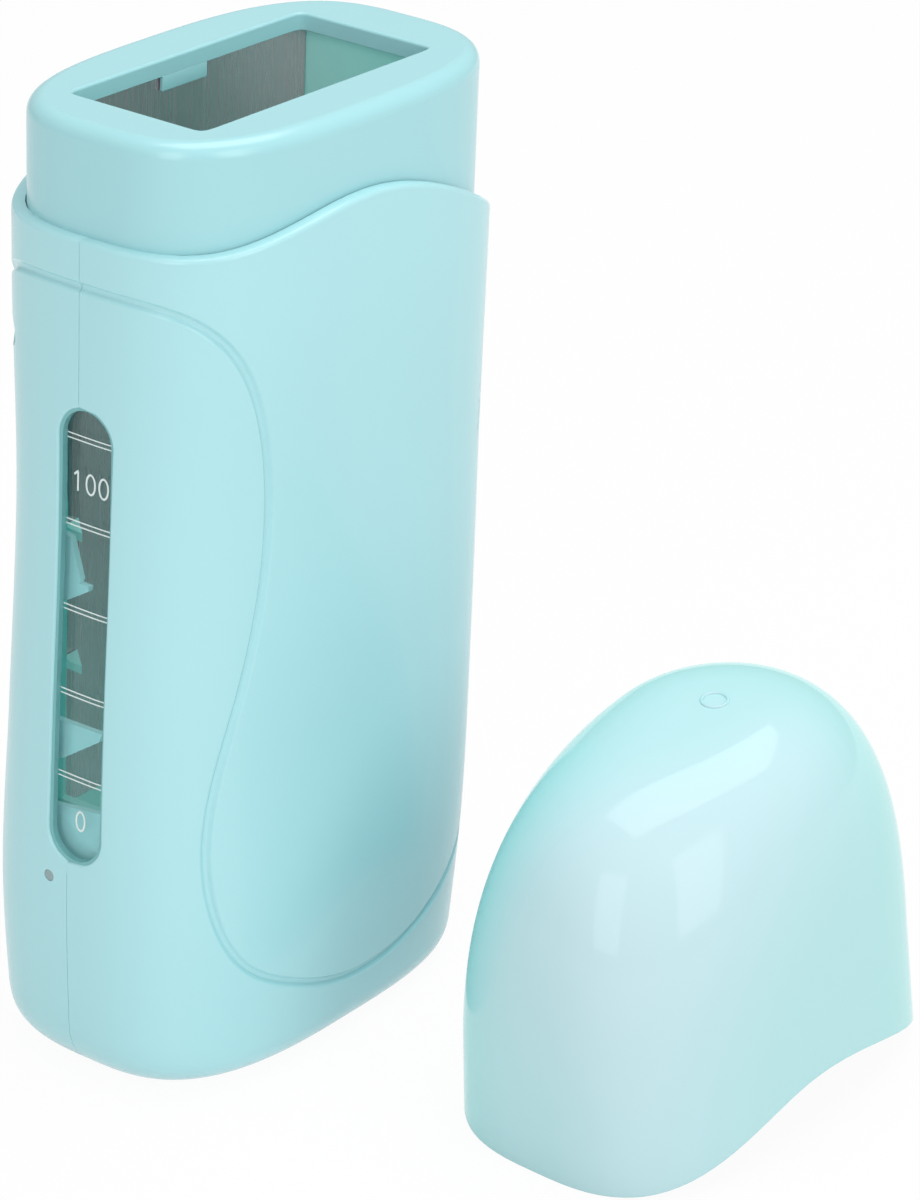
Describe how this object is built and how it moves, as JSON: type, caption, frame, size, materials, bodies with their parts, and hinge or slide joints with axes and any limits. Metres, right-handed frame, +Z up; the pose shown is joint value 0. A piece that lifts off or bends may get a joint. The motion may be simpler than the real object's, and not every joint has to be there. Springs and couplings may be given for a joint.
{
  "type": "roll-on wax heater",
  "caption": "Hand-held electric heater for a roll-on wax cartridge, with neck collar, level window and a removable domed cap.",
  "frame": {"origin": "centre of the flat base of the heater, on the surface it stands on", "axes": "+Z up; -Y towards the narrow face with the level window; X across the thickness, +X the right shell; the cap stands beside the heater on +X"},
  "size_m": [0.1227, 0.1069, 0.1534],
  "materials": {
    "case_plastic": "soft-gloss moulded aqua",
    "cap_plastic": "glossy milky translucent aqua",
    "clear_window": "clear moulded, polished",
    "inner_plastic": "moulded aqua, satin",
    "spring_steel": "rolled strip",
    "plate_aluminium": "brushed along its height",
    "screw_steel": "zinc plated",
    "fuse_metal": "tinned can",
    "sleeve_fabric": "braided glass fibre",
    "pipe_clear": "clear, frosted tip",
    "lamp_red": "tinted epoxy",
    "board_laminate": "phenolic paper laminate",
    "resistor_coat": "lacquered",
    "diode_black": "moulded",
    "inlet_black": "moulded black",
    "pin_brass": "nickel-plated brass",
    "wire_brown": "silicone insulation",
    "wire_blue": "silicone insulation",
    "wire_white": "thin insulation",
    "mica": "pressed mica sheet",
    "electrode_metal": "thin sheet",
    "ptc_ceramic": "sintered ceramic"
  },
  "bodies": {
    "heater": {"right_shell": "case_plastic", "left_shell": "case_plastic", "neck_collar": "case_plastic", "level_lens": "clear_window", "lens_retainer": "inner_plastic", "cartridge_well": "inner_plastic", "cartridge_spring": "spring_steel", "spring_rivet": "spring_steel", "heater_plate": "plate_aluminium", "ptc_clamp": "spring_steel", "clamp_screws": "screw_steel", "thermal_fuse": "fuse_metal", "fuse_sleeve": "sleeve_fabric", "pilot_light_pipe": "pipe_clear", "pilot_led": "lamp_red", "pilot_board": "board_laminate", "board_screws": "screw_steel", "dropping_resistor": "resistor_coat", "rectifier_diode": "diode_black", "inlet_housing": "inlet_black", "inlet_pins": "pin_brass", "case_screws": "screw_steel", "lead_live": "wire_brown", "lead_neutral": "wire_blue", "lead_fuse": "wire_brown", "pilot_leads": "wire_white", "mica_front": "mica", "mica_back": "mica", "electrode_front": "electrode_metal", "electrode_back": "electrode_metal", "ptc_element": "ptc_ceramic"},
    "cap": {"cap": "cap_plastic"}
  },
  "joints": [
    {"name": "cap_lift", "type": "slide", "parent": "heater", "child": "cap", "axis": [0, 0, 1], "range_m": [0, 0.19]}
  ]
}
